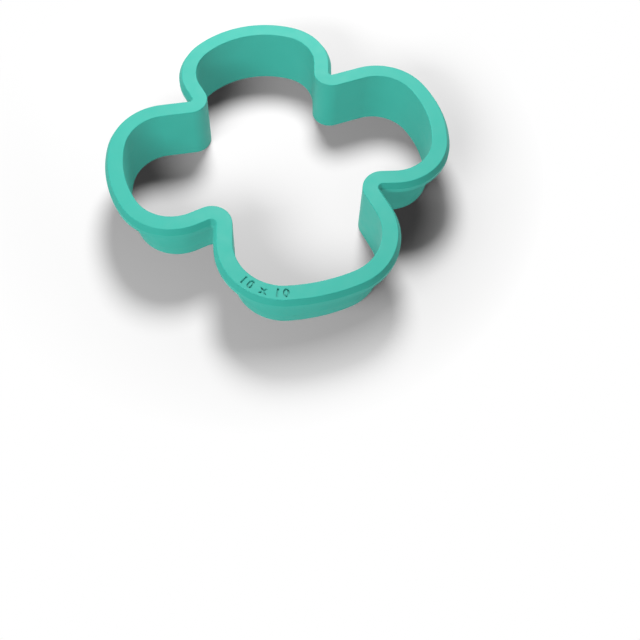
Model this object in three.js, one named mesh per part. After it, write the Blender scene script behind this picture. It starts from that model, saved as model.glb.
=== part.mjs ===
// Cookie cutter with four rounded lobes: a wide flat grip rim, a thin wall under it and a cutting edge.
// Millimetres, +Z up. The cutter stands on its cutting edge, with the origin at the bottom, in the middle.
// The wide front lobe points to -Y, the narrow back lobe to +Y, and the two side lobes are mirror images.
// The inner face is one upright face from the rim down to the cutting edge, so the cookie slips out.

import * as THREE from 'three';

// The cookie that it cuts, over the inner face
const CUT_LENGTH = 101.6;
const CUT_WIDTH = 101.4;

// Back lobe: its width, the radius of its corners and of its bowed end, and the lean of its sides in degrees
const BACK_WIDTH = 41;
const BACK_CORNER_RADIUS = 12.3;
const BACK_END_RADIUS = 27.8;
const BACK_LEAN = 15.2;

// Side lobes: as above, with the distance that they sit behind the middle, and a lean on each side
const SIDE_WIDTH = 40.2;
const SIDE_SETBACK = 2.3;
const SIDE_CORNER_RADIUS = 13.4;
const SIDE_END_RADIUS = 33.5;
const SIDE_BACK_LEAN = 5.2;
const SIDE_FRONT_LEAN = 12.1;

// Front lobe
const FRONT_WIDTH = 46.2;
const FRONT_CORNER_RADIUS = 15.7;
const FRONT_END_RADIUS = 56;
const FRONT_LEAN = 12.1;

// Heights, from the table up
const TOTAL_HEIGHT = 21.7;
const RIM_HEIGHT = 3.8;
const EDGE_HEIGHT = 4.5;

// Thicknesses, outwards from the inner face
const RIM_WIDTH = 6;
const WALL_TOP_THICKNESS = 1.7;
const WALL_FOOT_THICKNESS = 1.2;
const EDGE_THICKNESS = 0.7;

// Bevel along the rim's outer top edge
const BEVEL_WIDTH = 1.1;
const BEVEL_HEIGHT = 2;

// Fillets between two lobes, at the inner face, and the least radius that is left in them further out
const BACK_FILLET_RADIUS = 6;
const FRONT_FILLET_RADIUS = 6.6;
const NOTCH_RADIUS = 0.35;

// Largest turn of the outline between two neighbouring points, in degrees
const TURN_STEP = 6;

const RIM_BOTTOM = TOTAL_HEIGHT - RIM_HEIGHT;
const QUARTER_TURN = Math.PI / 2;

const radians = (degrees) => THREE.MathUtils.degToRad(degrees);
const direction = (angle) => new THREE.Vector2(Math.cos(angle), Math.sin(angle));

// A lobe's corner circle, as its distance along the lobe's axis and across it. The corner touches the lobe's
// full width and, from the inside, the bowed end, whose furthest point lies at reach.
function cornerCentre(reach, width, cornerRadius, endRadius) {
  const across = width / 2 - cornerRadius;
  const along = reach - endRadius + Math.sqrt((endRadius - cornerRadius) ** 2 - across ** 2);
  return { along, across };
}

// The centre of the fillet that touches two straight lobe sides from outside. Each side is given by the
// corner circle that it leaves and by its outward normal.
function filletCentre(radius, first, firstRadius, firstNormal, second, secondRadius, secondNormal) {
  const a = direction(firstNormal);
  const b = direction(secondNormal);
  const aDistance = a.dot(first) + firstRadius + radius;
  const bDistance = b.dot(second) + secondRadius + radius;
  const cross = a.cross(b);
  return new THREE.Vector2(
    (aDistance * b.y - bDistance * a.y) / cross,
    (a.x * bDistance - b.x * aDistance) / cross,
  );
}

// The right half of the inner outline as arcs, clockwise from the back. An arc runs from one outward normal
// to another; its radius is negative where the outline is hollow. Straight sides join one arc to the next.
// The fillets are as large as it takes to keep the notch radius when the outline moves outwards by offset.
function halfOutline(offset) {
  const backFilletRadius = Math.max(BACK_FILLET_RADIUS, offset + NOTCH_RADIUS);
  const frontFilletRadius = Math.max(FRONT_FILLET_RADIUS, offset + NOTCH_RADIUS);
  const backReach = CUT_LENGTH / 2;
  const sideReach = CUT_WIDTH / 2;
  const frontReach = CUT_LENGTH / 2;
  const back = cornerCentre(backReach, BACK_WIDTH, BACK_CORNER_RADIUS, BACK_END_RADIUS);
  const side = cornerCentre(sideReach, SIDE_WIDTH, SIDE_CORNER_RADIUS, SIDE_END_RADIUS);
  const front = cornerCentre(frontReach, FRONT_WIDTH, FRONT_CORNER_RADIUS, FRONT_END_RADIUS);

  const backEnd = new THREE.Vector2(0, backReach - BACK_END_RADIUS);
  const backCorner = new THREE.Vector2(back.across, back.along);
  const sideEnd = new THREE.Vector2(sideReach - SIDE_END_RADIUS, SIDE_SETBACK);
  const sideBackCorner = new THREE.Vector2(side.along, SIDE_SETBACK + side.across);
  const sideFrontCorner = new THREE.Vector2(side.along, SIDE_SETBACK - side.across);
  const frontCorner = new THREE.Vector2(front.across, -front.along);
  const frontEnd = new THREE.Vector2(0, FRONT_END_RADIUS - frontReach);

  const backSide = -radians(BACK_LEAN);
  const sideBackSide = QUARTER_TURN + radians(SIDE_BACK_LEAN);
  const sideFrontSide = -QUARTER_TURN - radians(SIDE_FRONT_LEAN);
  const frontSide = radians(FRONT_LEAN);
  const backTouch = backCorner.clone().sub(backEnd).angle();
  const sideTouch = sideBackCorner.clone().sub(sideEnd).angle();
  const frontTouch = frontCorner.clone().sub(frontEnd).angle() - 2 * Math.PI;

  const backFillet = filletCentre(
    backFilletRadius,
    backCorner, BACK_CORNER_RADIUS, backSide,
    sideBackCorner, SIDE_CORNER_RADIUS, sideBackSide,
  );
  const frontFillet = filletCentre(
    frontFilletRadius,
    sideFrontCorner, SIDE_CORNER_RADIUS, sideFrontSide,
    frontCorner, FRONT_CORNER_RADIUS, frontSide,
  );

  return [
    { centre: backEnd, radius: BACK_END_RADIUS, from: QUARTER_TURN, to: backTouch },
    { centre: backCorner, radius: BACK_CORNER_RADIUS, from: backTouch, to: backSide },
    { centre: backFillet, radius: -backFilletRadius, from: backSide, to: sideBackSide },
    { centre: sideBackCorner, radius: SIDE_CORNER_RADIUS, from: sideBackSide, to: sideTouch },
    { centre: sideEnd, radius: SIDE_END_RADIUS, from: sideTouch, to: -sideTouch },
    { centre: sideFrontCorner, radius: SIDE_CORNER_RADIUS, from: -sideTouch, to: sideFrontSide },
    { centre: frontFillet, radius: -frontFilletRadius, from: sideFrontSide, to: frontSide },
    { centre: frontCorner, radius: FRONT_CORNER_RADIUS, from: frontSide, to: frontTouch },
    { centre: frontEnd, radius: FRONT_END_RADIUS, from: frontTouch, to: -QUARTER_TURN },
  ];
}

// Points of the whole outline, moved outwards by offset. Every offset gives the same number of points, and
// an even number of steps puts one at the middle of each end.
function outlinePoints(offset) {
  const right = [];
  const half = halfOutline(offset);
  half.forEach((arc, index) => {
    const steps = 2 * Math.ceil(Math.abs(arc.to - arc.from) / (2 * radians(TURN_STEP)));
    const previous = half[index - 1];
    const sharesStart = index > 0 && previous.radius > 0 && arc.radius > 0;
    for (let step = sharesStart ? 1 : 0; step <= steps; step += 1) {
      const normal = arc.from + ((arc.to - arc.from) * step) / steps;
      right.push(direction(normal).multiplyScalar(arc.radius + offset).add(arc.centre));
    }
  });
  const left = right.slice(1, -1).reverse().map((point) => new THREE.Vector2(-point.x, point.y));
  return [...right, ...left];
}

// A closed ring round the outline. The section is a list of [offset, height] corners, counter-clockwise with
// the offset to the right and the height up.
function ringGeometry(section) {
  const loops = section.map(([offset]) => outlinePoints(offset));
  const around = loops[0].length;
  const positions = [];
  loops.forEach((loop, corner) => {
    loop.forEach((point) => positions.push(point.x, point.y, section[corner][1]));
  });
  const triangles = [];
  for (let corner = 0; corner < section.length; corner += 1) {
    const here = corner * around;
    const next = ((corner + 1) % section.length) * around;
    for (let i = 0; i < around; i += 1) {
      const j = (i + 1) % around;
      triangles.push(here + i, next + i, here + j);
      triangles.push(next + i, next + j, here + j);
    }
  }
  const geometry = new THREE.BufferGeometry();
  geometry.setAttribute('position', new THREE.Float32BufferAttribute(positions, 3));
  geometry.setIndex(triangles);
  geometry.computeVertexNormals();
  return geometry;
}

function ring(name, color, roughness, section) {
  const material = new THREE.MeshStandardMaterial({ color, roughness, metalness: 0 });
  const mesh = new THREE.Mesh(ringGeometry(section), material);
  mesh.name = name;
  return mesh;
}

// The flange that is pressed with the fingers, with its bevelled outer edge
const gripRim = ring('grip_rim', 0x58c7b7, 0.5, [
  [0, RIM_BOTTOM],
  [RIM_WIDTH, RIM_BOTTOM],
  [RIM_WIDTH, TOTAL_HEIGHT - BEVEL_HEIGHT],
  [RIM_WIDTH - BEVEL_WIDTH, TOTAL_HEIGHT],
  [0, TOTAL_HEIGHT],
]);

// The wall, set back under the rim, a little thinner at its foot
const wall = ring('wall', 0x52b4a6, 0.5, [
  [0, EDGE_HEIGHT],
  [WALL_FOOT_THICKNESS, EDGE_HEIGHT],
  [WALL_TOP_THICKNESS, RIM_BOTTOM],
  [0, RIM_BOTTOM],
]);

// The cutting edge, which tapers to a narrow flat
const cuttingEdge = ring('cutting_edge', 0x52b4a6, 0.45, [
  [0, 0],
  [EDGE_THICKNESS, 0],
  [WALL_FOOT_THICKNESS, EDGE_HEIGHT],
  [0, EDGE_HEIGHT],
]);

const cookieCutter = new THREE.Group();
cookieCutter.name = 'cookie_cutter';
cookieCutter.add(gripRim, wall, cuttingEdge);

export default cookieCutter;
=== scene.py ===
"""Cookie cutter with four rounded lobes: its surface, finish, light and camera. Metres, +Z up."""

import math

import bmesh
import bpy
from mathutils import Matrix, Vector


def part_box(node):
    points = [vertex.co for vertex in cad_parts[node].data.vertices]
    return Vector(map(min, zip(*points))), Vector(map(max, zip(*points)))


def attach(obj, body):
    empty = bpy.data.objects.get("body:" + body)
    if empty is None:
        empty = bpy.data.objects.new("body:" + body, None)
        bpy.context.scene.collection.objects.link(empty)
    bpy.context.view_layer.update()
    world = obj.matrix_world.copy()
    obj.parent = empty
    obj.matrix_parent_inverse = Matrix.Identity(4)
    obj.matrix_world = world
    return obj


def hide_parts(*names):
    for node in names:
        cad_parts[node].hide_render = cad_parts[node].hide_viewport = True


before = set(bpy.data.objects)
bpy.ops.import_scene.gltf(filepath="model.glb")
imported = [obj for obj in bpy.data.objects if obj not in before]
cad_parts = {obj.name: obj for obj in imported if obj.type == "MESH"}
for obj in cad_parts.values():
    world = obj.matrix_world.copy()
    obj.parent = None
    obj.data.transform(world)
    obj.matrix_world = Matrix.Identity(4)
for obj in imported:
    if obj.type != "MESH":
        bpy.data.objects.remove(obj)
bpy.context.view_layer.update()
MM = 0.001
WHITE = (1, 1, 1, 1)

# Plan outline of the inner face, as in the solid model
CUT_LENGTH = 101.6 * MM
CUT_WIDTH = 101.4 * MM
BACK_WIDTH = 41.0 * MM
BACK_CORNER_RADIUS = 12.3 * MM
BACK_END_RADIUS = 27.8 * MM
BACK_LEAN = math.radians(15.2)
SIDE_WIDTH = 40.2 * MM
SIDE_SETBACK = 2.3 * MM
SIDE_CORNER_RADIUS = 13.4 * MM
SIDE_END_RADIUS = 33.5 * MM
SIDE_BACK_LEAN = math.radians(5.2)
SIDE_FRONT_LEAN = math.radians(12.1)
FRONT_WIDTH = 46.2 * MM
FRONT_CORNER_RADIUS = 15.7 * MM
FRONT_END_RADIUS = 56.0 * MM
FRONT_LEAN = math.radians(12.1)
BACK_FILLET_RADIUS = 6.0 * MM
FRONT_FILLET_RADIUS = 6.6 * MM
NOTCH_RADIUS = 0.35 * MM

# Heights and thicknesses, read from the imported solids, apart from the edge's own thickness
RIM_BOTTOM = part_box("grip_rim")[0].z
RIM_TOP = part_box("grip_rim")[1].z
EDGE_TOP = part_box("cutting_edge")[1].z
RIM_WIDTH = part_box("grip_rim")[1].y - CUT_LENGTH / 2
WALL_TOP_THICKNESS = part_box("wall")[1].y - CUT_LENGTH / 2
WALL_FOOT_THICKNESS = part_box("cutting_edge")[1].y - CUT_LENGTH / 2
EDGE_THICKNESS = 0.7 * MM

# Bevel along the rim, and the small radii that a mould leaves on each edge
BEVEL_WIDTH = 1.1 * MM
BEVEL_HEIGHT = 2.0 * MM
INNER_EDGE_RADIUS = 0.25 * MM
BEVEL_TOP_RADIUS = 0.25 * MM
BEVEL_FOOT_RADIUS = 0.25 * MM
RIM_FOOT_RADIUS = 0.2 * MM
WALL_ROOT_FILLET = 0.7 * MM
BLADE_RADIUS = 0.12 * MM

# Fineness of the meshes
TURN_STEP = math.radians(2.0)
EDGE_STEPS = 6
SUPPORT_LOOP = 0.06 * MM
SHARP_ANGLE = math.radians(35)
MERGE_DISTANCE = 0.001 * MM

# Plain size mark pressed into the rim at the front lobe's left corner
MARK_TEXT = "10 x 10"
MARK_HEIGHT = 3.0 * MM
MARK_DEPTH = 0.55 * MM
MARK_OFFSET = 2.45 * MM
MARK_MIDDLE = Vector((-16.6, -49.3)) * MM
MARK_SPACING = 1.35
MARK_BOLDNESS = 0.046

# Plastic: its two shades, the sizes of its clouds, gloss patches and grain, and each piece's finish
DEEP_TURQUOISE = (0.038, 0.502, 0.402)
PALE_TURQUOISE = (0.043, 0.527, 0.425)
PLASTIC_IOR = 1.47
CLOUD_SIZE = 14 * MM
GLOSS_PATCH_SIZE = 3.5 * MM
GRAIN_SIZE = 0.22 * MM
GRAIN_STRENGTH = 0.35
NOISE_RANGE = (0.3, 0.7)
FINISHES = {
    "rim_plastic": {"shine": 0.31, "smoothest": 0.48, "roughest": 0.56, "grain_depth": 0.02 * MM},
    "wall_plastic": {"shine": 0.30, "smoothest": 0.46, "roughest": 0.56, "grain_depth": 0.02 * MM},
    "blade_plastic": {"shine": 0.30, "smoothest": 0.44, "roughest": 0.52, "grain_depth": 0.01 * MM},
}

# Floor: the shadow fades to plain white between two distances from the fade's middle
FLOOR_RADIUS = 2.0
FLOOR_SIDES = 96
FLOOR_COLOUR = (0.98, 0.98, 0.98)
FLOOR_BOUNCE = 0.95
FADE_MIDDLE = (-0.007, 0.0165, 0.0)
FADE_START = 0.075
FADE_END = 0.103

# Softboxes: direction and size as seen from the cutter in degrees, and the share of a white floor's light
AMBIENT = 0.036
LAMP_DISTANCE = 0.38
LAMPS = {
    "back_softbox": {"bearing": 76, "elevation": 55, "width": 22, "height": 20, "share": 0.69},
    "left_softbox": {"bearing": 220, "elevation": 38, "width": 40, "height": 22, "share": 0.305},
}

# Camera, as measured on the 640 pixel photograph
IMAGE_SIDE = 640
SENSOR_WIDTH = 36.0
FOCAL_PIXELS = 940.2
CAMERA_AZIMUTH = math.radians(-14.95)
CAMERA_ELEVATION = math.radians(57.32)
CAMERA_ROLL = math.radians(0.76)
CAMERA_DISTANCE = 314.4 * MM
CAMERA_TARGET = Vector((-0.03, -16.85, 0.0)) * MM
CAMERA_SHIFT = (0.0424, -0.146)
CAMERA_NEAR_LIMIT = 0.01


def direction(angle):
    """Unit vector in plan."""
    return Vector((math.cos(angle), math.sin(angle)))


def corner_centre(reach, width, corner_radius, end_radius):
    """A lobe's corner circle, along and across the lobe. It touches the lobe's width and its bowed end."""
    across = width / 2 - corner_radius
    along = reach - end_radius + math.sqrt((end_radius - corner_radius) ** 2 - across ** 2)
    return along, across


def fillet_centre(radius, first, first_radius, first_normal, second, second_radius, second_normal):
    """Centre of the fillet that touches two straight lobe sides from outside."""
    a = direction(first_normal)
    b = direction(second_normal)
    a_distance = a.dot(first) + first_radius + radius
    b_distance = b.dot(second) + second_radius + radius
    cross = a.x * b.y - a.y * b.x
    x = (a_distance * b.y - b_distance * a.y) / cross
    y = (a.x * b_distance - b.x * a_distance) / cross
    return Vector((x, y))


def half_outline(offset):
    """Arcs of the right half of the inner outline, clockwise from the back: centre, radius, first and last
    outward normal. The radius is negative where the outline is hollow, and there it is as large as it takes
    to keep the notch radius when the outline is moved outwards by offset."""
    quarter = math.pi / 2
    back_fillet_radius = max(BACK_FILLET_RADIUS, offset + NOTCH_RADIUS)
    front_fillet_radius = max(FRONT_FILLET_RADIUS, offset + NOTCH_RADIUS)
    reach_y = CUT_LENGTH / 2
    reach_x = CUT_WIDTH / 2
    back_along, back_across = corner_centre(reach_y, BACK_WIDTH, BACK_CORNER_RADIUS, BACK_END_RADIUS)
    side_along, side_across = corner_centre(reach_x, SIDE_WIDTH, SIDE_CORNER_RADIUS, SIDE_END_RADIUS)
    front_along, front_across = corner_centre(reach_y, FRONT_WIDTH, FRONT_CORNER_RADIUS, FRONT_END_RADIUS)
    back_end = Vector((0, reach_y - BACK_END_RADIUS))
    back_corner = Vector((back_across, back_along))
    side_end = Vector((reach_x - SIDE_END_RADIUS, SIDE_SETBACK))
    side_back_corner = Vector((side_along, SIDE_SETBACK + side_across))
    side_front_corner = Vector((side_along, SIDE_SETBACK - side_across))
    front_corner = Vector((front_across, -front_along))
    front_end = Vector((0, FRONT_END_RADIUS - reach_y))
    side_back_normal = quarter + SIDE_BACK_LEAN
    side_front_normal = -quarter - SIDE_FRONT_LEAN

    def touch(corner, end):
        """Normal where a corner meets its bowed end."""
        return math.atan2(corner.y - end.y, corner.x - end.x)

    back_touch = touch(back_corner, back_end)
    side_touch = touch(side_back_corner, side_end)
    front_touch = touch(front_corner, front_end)
    back_fillet = fillet_centre(
        back_fillet_radius,
        back_corner, BACK_CORNER_RADIUS, -BACK_LEAN,
        side_back_corner, SIDE_CORNER_RADIUS, side_back_normal,
    )
    front_fillet = fillet_centre(
        front_fillet_radius,
        side_front_corner, SIDE_CORNER_RADIUS, side_front_normal,
        front_corner, FRONT_CORNER_RADIUS, FRONT_LEAN,
    )
    return [
        (back_end, BACK_END_RADIUS, quarter, back_touch),
        (back_corner, BACK_CORNER_RADIUS, back_touch, -BACK_LEAN),
        (back_fillet, -back_fillet_radius, -BACK_LEAN, side_back_normal),
        (side_back_corner, SIDE_CORNER_RADIUS, side_back_normal, side_touch),
        (side_end, SIDE_END_RADIUS, side_touch, -side_touch),
        (side_front_corner, SIDE_CORNER_RADIUS, -side_touch, side_front_normal),
        (front_fillet, -front_fillet_radius, side_front_normal, FRONT_LEAN),
        (front_corner, FRONT_CORNER_RADIUS, FRONT_LEAN, front_touch),
        (front_end, FRONT_END_RADIUS, front_touch, -quarter),
    ]


def outline(offset):
    """Points of the whole outline, clockwise, moved outwards by offset, each with its outward normal."""
    right = []
    previous_radius = 0.0
    for centre, radius, first, last in half_outline(offset):
        steps = 2 * math.ceil(abs(last - first) / (2 * TURN_STEP))
        shares_start = previous_radius > 0 and radius > 0
        for step in range(1 if shares_start else 0, steps + 1):
            normal = direction(first + (last - first) * step / steps)
            right.append((centre + normal * (radius + offset), normal))
        previous_radius = radius
    left = [
        (Vector((-point.x, point.y)), Vector((-normal.x, normal.y)))
        for point, normal in reversed(right[1:-1])
    ]
    return right + left


def rounded(section):
    """A section's corners, each (offset, height, radius), as points with the corners rounded and a support
    point on each side of every rounding."""
    points = []
    for index, (offset, height, radius) in enumerate(section):
        corner = Vector((offset, height))
        if radius == 0:
            points.append(corner)
            continue
        before = Vector(section[index - 1][:2]) - corner
        after = Vector(section[(index + 1) % len(section)][:2]) - corner
        before.normalize()
        after.normalize()
        half_angle = before.angle(after) / 2
        reach = radius / math.tan(half_angle)
        centre = corner + (before + after).normalized() * (radius / math.sin(half_angle))
        start = corner + before * reach - centre
        turn = start.angle_signed(corner + after * reach - centre)
        points.append(corner + before * (reach + SUPPORT_LOOP))
        for step in range(EDGE_STEPS + 1):
            angle = -turn * step / EDGE_STEPS
            points.append(centre + Matrix.Rotation(angle, 2) @ start)
        points.append(corner + after * (reach + SUPPORT_LOOP))
    return points


def ring_mesh(name, section):
    """A closed ring round the outline. Its section runs counter-clockwise, offset right and height up."""
    points = rounded(section)
    vertices = []
    for point in points:
        vertices += [(p.x, p.y, point.y) for p, _ in outline(point.x)]
    around = len(vertices) // len(points)
    faces = []
    for corner in range(len(points)):
        here = corner * around
        there = (corner + 1) % len(points) * around
        for i in range(around):
            j = (i + 1) % around
            faces.append((here + i, there + i, there + j, here + j))
    mesh = bpy.data.meshes.new(name)
    mesh.from_pydata(vertices, [], faces)
    return mesh


def shade(mesh):
    """Smooth shading, with an edge kept wherever two faces meet steeply."""
    mesh.polygons.foreach_set("use_smooth", [True] * len(mesh.polygons))
    mesh.set_sharp_from_angle(angle=SHARP_ANGLE)


def add_object(name, data):
    """A new object in the scene."""
    made = bpy.data.objects.new(name, data)
    bpy.context.scene.collection.objects.link(made)
    return made


def evaluated_mesh(source):
    """A mesh of the object with its modifiers applied, or of its text."""
    graph = bpy.context.evaluated_depsgraph_get()
    return bpy.data.meshes.new_from_object(source.evaluated_get(graph))


def mark_cutter():
    """The size mark's letters as solids that follow the rim, sunk into its top by the mark's depth."""
    text = bpy.data.curves.new("size_mark_text", "FONT")
    text.body = MARK_TEXT
    text.offset = MARK_BOLDNESS
    text.space_character = MARK_SPACING
    # Any extrusion does, because both ends get their heights below
    text.extrude = 1.0
    text_object = add_object("size_mark_text", text)
    bpy.context.view_layer.update()
    mesh = evaluated_mesh(text_object)
    bpy.data.objects.remove(text_object)
    low_x = min(v.co.x for v in mesh.vertices)
    high_x = max(v.co.x for v in mesh.vertices)
    low_y = min(v.co.y for v in mesh.vertices)
    high_y = max(v.co.y for v in mesh.vertices)
    scale = MARK_HEIGHT / (high_y - low_y)
    path = outline(MARK_OFFSET)[::-1]
    middle = min(range(len(path)), key=lambda i: (path[i][0] - MARK_MIDDLE).length)

    def along(distance):
        """Point and outward normal of the path at a distance from the mark's middle."""
        step = 1 if distance >= 0 else -1
        left = abs(distance)
        i = middle
        while True:
            j = (i + step) % len(path)
            run = (path[j][0] - path[i][0]).length
            if run >= left:
                share = left / run
                return path[i][0].lerp(path[j][0], share), path[i][1].lerp(path[j][1], share)
            left -= run
            i = j

    for vertex in mesh.vertices:
        point, normal = along((vertex.co.x - (low_x + high_x) / 2) * scale)
        place = point - normal * (vertex.co.y - (low_y + high_y) / 2) * scale
        height = RIM_TOP - MARK_DEPTH if vertex.co.z < 0 else RIM_TOP + MARK_DEPTH
        vertex.co = (place.x, place.y, height)
    solid = bmesh.new()
    solid.from_mesh(mesh)
    bmesh.ops.remove_doubles(solid, verts=solid.verts, dist=MERGE_DISTANCE)
    bmesh.ops.recalc_face_normals(solid, faces=solid.faces)
    solid.to_mesh(mesh)
    solid.free()
    return add_object("size_mark_cutter", mesh)


def make_rim():
    """The grip rim with its bevel, and the size mark cut into its top."""
    section = [
        (0, RIM_BOTTOM, 0),
        (RIM_WIDTH, RIM_BOTTOM, RIM_FOOT_RADIUS),
        (RIM_WIDTH, RIM_TOP - BEVEL_HEIGHT, BEVEL_FOOT_RADIUS),
        (RIM_WIDTH - BEVEL_WIDTH, RIM_TOP, BEVEL_TOP_RADIUS),
        (0, RIM_TOP, INNER_EDGE_RADIUS),
    ]
    rim = add_object("rim", ring_mesh("rim", section))
    cutter = mark_cutter()
    cut = rim.modifiers.new("size_mark", "BOOLEAN")
    cut.object = cutter
    cut.operation = "DIFFERENCE"
    cut.solver = "EXACT"
    bpy.context.view_layer.update()
    rim.data = evaluated_mesh(rim)
    rim.modifiers.clear()
    bpy.data.objects.remove(cutter)
    shade(rim.data)
    return rim


def make_wall():
    """The upright wall, with a fillet where it meets the rim."""
    section = [(0, EDGE_TOP, 0), (WALL_FOOT_THICKNESS, EDGE_TOP, 0)]
    for step in range(EDGE_STEPS + 1):
        turn = math.pi / 2 * step / EDGE_STEPS
        out = WALL_TOP_THICKNESS + WALL_ROOT_FILLET * (1 - math.cos(turn))
        section.append((out, RIM_BOTTOM - WALL_ROOT_FILLET * (1 - math.sin(turn)), 0))
    section.append((0, RIM_BOTTOM, 0))
    wall = add_object("upright_wall", ring_mesh("upright_wall", section))
    shade(wall.data)
    return wall


def make_blade():
    """The cutting edge, which tapers to a narrow flat."""
    section = [
        (0, 0, BLADE_RADIUS),
        (EDGE_THICKNESS, 0, BLADE_RADIUS),
        (WALL_FOOT_THICKNESS, EDGE_TOP, 0),
        (0, EDGE_TOP, 0),
    ]
    blade = add_object("blade", ring_mesh("blade", section))
    shade(blade.data)
    return blade


def node_group(name, inputs, outputs):
    """An empty shader node group. Inputs and outputs are (name, socket type) pairs."""
    group = bpy.data.node_groups.new(name, "ShaderNodeTree")
    for label, kind in inputs:
        group.interface.new_socket(label, in_out="INPUT", socket_type=kind)
    for label, kind in outputs:
        group.interface.new_socket(label, in_out="OUTPUT", socket_type=kind)
    return group, group.nodes.new("NodeGroupInput"), group.nodes.new("NodeGroupOutput")


def noise(tree, size, detail):
    """A noise texture in the object's own metres, with features of about the given size."""
    place = tree.nodes.new("ShaderNodeTexCoord")
    texture = tree.nodes.new("ShaderNodeTexNoise")
    texture.inputs["Scale"].default_value = 1 / size
    texture.inputs["Detail"].default_value = detail
    tree.links.new(place.outputs["Object"], texture.inputs["Vector"])
    return texture.outputs["Fac"]


def spread(tree, value, low, high, to_low, to_high):
    """Maps a value from one range to another. The new ends may be sockets or numbers."""
    node = tree.nodes.new("ShaderNodeMapRange")
    node.inputs["From Min"].default_value = low
    node.inputs["From Max"].default_value = high
    tree.links.new(value, node.inputs["Value"])
    for label, end in (("To Min", to_low), ("To Max", to_high)):
        if isinstance(end, float):
            node.inputs[label].default_value = end
        else:
            tree.links.new(end, node.inputs[label])
    return node.outputs["Result"]


def pigment_group():
    """Faint clouds where the pigment is a little thicker or thinner."""
    group, given, result = node_group(
        "pigment_clouds",
        [("Deep Colour", "NodeSocketColor"), ("Pale Colour", "NodeSocketColor")],
        [("Colour", "NodeSocketColor")],
    )
    clouds = spread(group, noise(group, CLOUD_SIZE, detail=3.0), *NOISE_RANGE, 0.0, 1.0)
    mix = group.nodes.new("ShaderNodeMix")
    mix.data_type = "RGBA"
    group.links.new(clouds, mix.inputs["Factor"])
    group.links.new(given.outputs["Deep Colour"], mix.inputs["A"])
    group.links.new(given.outputs["Pale Colour"], mix.inputs["B"])
    group.links.new(mix.outputs["Result"], result.inputs["Colour"])
    return group


def grain_group():
    """The mould's fine satin grain: uneven gloss and a shallow height."""
    group, given, result = node_group(
        "satin_grain",
        [("Smoothest", "NodeSocketFloat"), ("Roughest", "NodeSocketFloat")],
        [("Roughness", "NodeSocketFloat"), ("Height", "NodeSocketFloat")],
    )
    patches = noise(group, GLOSS_PATCH_SIZE, detail=4.0)
    gloss = spread(group, patches, *NOISE_RANGE, given.outputs["Smoothest"], given.outputs["Roughest"])
    grain = noise(group, GRAIN_SIZE, detail=2.0)
    group.links.new(gloss, result.inputs["Roughness"])
    group.links.new(grain, result.inputs["Height"])
    return group


def plastic(name, groups, shine, smoothest, roughest, grain_depth):
    """Satin turquoise plastic with pigment clouds and mould grain."""
    material = bpy.data.materials.new(name)
    material.use_nodes = True
    tree = material.node_tree
    shader = tree.nodes["Principled BSDF"]
    shader.inputs["IOR"].default_value = PLASTIC_IOR
    shader.inputs["Specular IOR Level"].default_value = shine
    clouds = tree.nodes.new("ShaderNodeGroup")
    clouds.node_tree = groups["pigment"]
    clouds.inputs["Deep Colour"].default_value = (*DEEP_TURQUOISE, 1)
    clouds.inputs["Pale Colour"].default_value = (*PALE_TURQUOISE, 1)
    grain = tree.nodes.new("ShaderNodeGroup")
    grain.node_tree = groups["grain"]
    grain.inputs["Smoothest"].default_value = smoothest
    grain.inputs["Roughest"].default_value = roughest
    bump = tree.nodes.new("ShaderNodeBump")
    bump.inputs["Strength"].default_value = GRAIN_STRENGTH
    bump.inputs["Distance"].default_value = grain_depth
    tree.links.new(clouds.outputs["Colour"], shader.inputs["Base Color"])
    tree.links.new(grain.outputs["Roughness"], shader.inputs["Roughness"])
    tree.links.new(grain.outputs["Height"], bump.inputs["Height"])
    tree.links.new(bump.outputs["Normal"], shader.inputs["Normal"])
    return material


def seen_directly(tree):
    """1 for rays from the camera, a mirror or glass, 0 for the light that surfaces scatter."""
    path = tree.nodes.new("ShaderNodeLightPath")
    total = path.outputs["Is Camera Ray"]
    for label in ("Is Glossy Ray", "Is Transmission Ray"):
        either = tree.nodes.new("ShaderNodeMath")
        either.operation = "MAXIMUM"
        tree.links.new(total, either.inputs[0])
        tree.links.new(path.outputs[label], either.inputs[1])
        total = either.outputs["Value"]
    return total


def make_floor():
    """A pale floor with the cutter's shadow, plain white further out. The light it scatters up is even."""
    shape = bmesh.new()
    bmesh.ops.create_circle(shape, cap_ends=True, segments=FLOOR_SIDES, radius=FLOOR_RADIUS)
    mesh = bpy.data.meshes.new("floor")
    shape.to_mesh(mesh)
    shape.free()
    floor = add_object("floor", mesh)
    material = bpy.data.materials.new("pale_floor")
    material.use_nodes = True
    tree = material.node_tree
    shader = tree.nodes["Principled BSDF"]
    shader.inputs["Base Color"].default_value = (*FLOOR_COLOUR, 1)
    shader.inputs["Roughness"].default_value = 1.0
    shader.inputs["Specular IOR Level"].default_value = 0.0
    white = tree.nodes.new("ShaderNodeEmission")
    place = tree.nodes.new("ShaderNodeTexCoord")
    length = tree.nodes.new("ShaderNodeVectorMath")
    length.operation = "DISTANCE"
    length.inputs[1].default_value = FADE_MIDDLE
    tree.links.new(place.outputs["Object"], length.inputs[0])
    near = spread(tree, length.outputs["Value"], FADE_START, FADE_END, 1.0, 0.0)
    direct = seen_directly(tree)
    tree.links.new(spread(tree, direct, 0.0, 1.0, FLOOR_BOUNCE, 1.0), white.inputs["Strength"])
    shown = tree.nodes.new("ShaderNodeMath")
    shown.operation = "MULTIPLY"
    tree.links.new(near, shown.inputs[0])
    tree.links.new(direct, shown.inputs[1])
    mix = tree.nodes.new("ShaderNodeMixShader")
    tree.links.new(shown.outputs["Value"], mix.inputs["Fac"])
    tree.links.new(white.outputs["Emission"], mix.inputs[1])
    tree.links.new(shader.outputs["BSDF"], mix.inputs[2])
    tree.links.new(mix.outputs["Shader"], tree.nodes["Material Output"].inputs["Surface"])
    mesh.materials.append(material)


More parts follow.
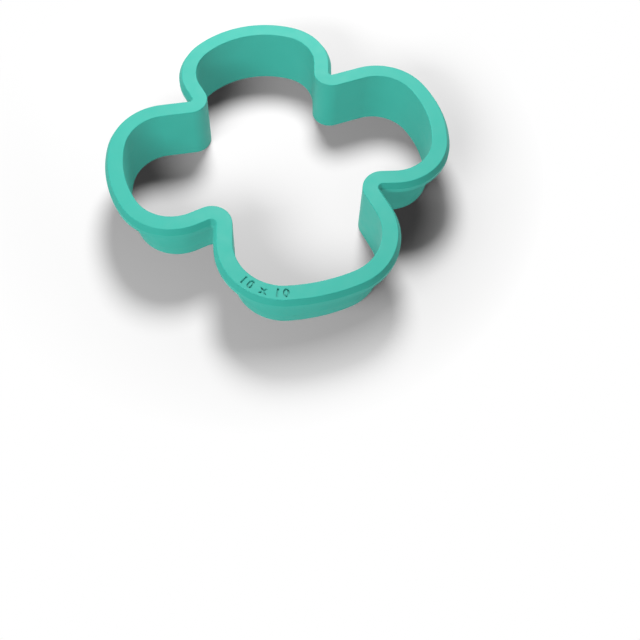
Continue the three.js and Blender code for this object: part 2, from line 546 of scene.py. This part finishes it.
def make_world():
    """Dim light from all round, with a white background."""
    world = bpy.data.worlds.new("studio")
    bpy.context.scene.world = world
    world.use_nodes = True
    tree = world.node_tree
    ambient = tree.nodes["Background"]
    ambient.inputs["Color"].default_value = WHITE
    ambient.inputs["Strength"].default_value = AMBIENT
    white = tree.nodes.new("ShaderNodeBackground")
    white.inputs["Color"].default_value = WHITE
    white.inputs["Strength"].default_value = 1.0
    mix = tree.nodes.new("ShaderNodeMixShader")
    tree.links.new(seen_directly(tree), mix.inputs["Fac"])
    tree.links.new(ambient.outputs["Background"], mix.inputs[1])
    tree.links.new(white.outputs["Background"], mix.inputs[2])
    tree.links.new(mix.outputs["Shader"], tree.nodes["World Output"].inputs["Surface"])


def make_lamp(name, bearing, elevation, width, height, share):
    """A softbox that faces the middle of the floor. Its bearing runs from +X towards +Y. Its power lights
    a white floor there to the given share of plain white."""
    flat = direction(math.radians(bearing)) * math.cos(math.radians(elevation))
    towards = Vector((flat.x, flat.y, math.sin(math.radians(elevation))))
    lamp = bpy.data.lights.new(name, "AREA")
    lamp.shape = "ELLIPSE"
    lamp.size = 2 * LAMP_DISTANCE * math.tan(math.radians(width / 2))
    lamp.size_y = 2 * LAMP_DISTANCE * math.tan(math.radians(height / 2))
    lamp.energy = share * math.pi ** 2 * LAMP_DISTANCE ** 2 / towards.z
    made = add_object(name, lamp)
    made.location = towards * LAMP_DISTANCE
    made.rotation_euler = towards.to_track_quat("Z", "Y").to_euler()


def make_camera():
    """The photograph's camera."""
    level = Vector((math.cos(CAMERA_AZIMUTH), math.sin(CAMERA_AZIMUTH), 0))
    outward = Vector((math.sin(CAMERA_AZIMUTH), -math.cos(CAMERA_AZIMUTH), 0))
    back = outward * math.cos(CAMERA_ELEVATION) + Vector((0, 0, math.sin(CAMERA_ELEVATION)))
    up = back.cross(level)
    right = level * math.cos(CAMERA_ROLL) + up * math.sin(CAMERA_ROLL)
    turn = Matrix((right, back.cross(right), back)).transposed()
    lens = bpy.data.cameras.new("camera")
    lens.sensor_width = SENSOR_WIDTH
    lens.lens = FOCAL_PIXELS * SENSOR_WIDTH / IMAGE_SIDE
    lens.shift_x, lens.shift_y = CAMERA_SHIFT
    lens.clip_start = CAMERA_NEAR_LIMIT
    camera = add_object("camera", lens)
    camera.matrix_world = Matrix.Translation(CAMERA_TARGET + back * CAMERA_DISTANCE) @ turn.to_4x4()
    bpy.context.scene.camera = camera


def finish_piece(piece, node, material):
    """Gives a piece its finish and its place in the frame. Scattered light doesn't see it, so that the
    floor's shadow stays grey."""
    piece.data.materials.clear()
    piece.data.materials.append(material)
    piece.visible_diffuse = False
    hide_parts(node)
    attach(piece, "root")


def make_cutter():
    """The three pieces of the cutter, each with its own finish."""
    groups = {"pigment": pigment_group(), "grain": grain_group()}
    materials = {name: plastic(name, groups, **finish) for name, finish in FINISHES.items()}
    finish_piece(make_rim(), "grip_rim", materials["rim_plastic"])
    finish_piece(make_wall(), "wall", materials["wall_plastic"])
    finish_piece(make_blade(), "cutting_edge", materials["blade_plastic"])


bpy.context.scene.view_settings.view_transform = "Standard"
make_camera()
make_world()
for lamp_name, lamp_values in LAMPS.items():
    make_lamp(lamp_name, **lamp_values)
make_floor()
make_cutter()
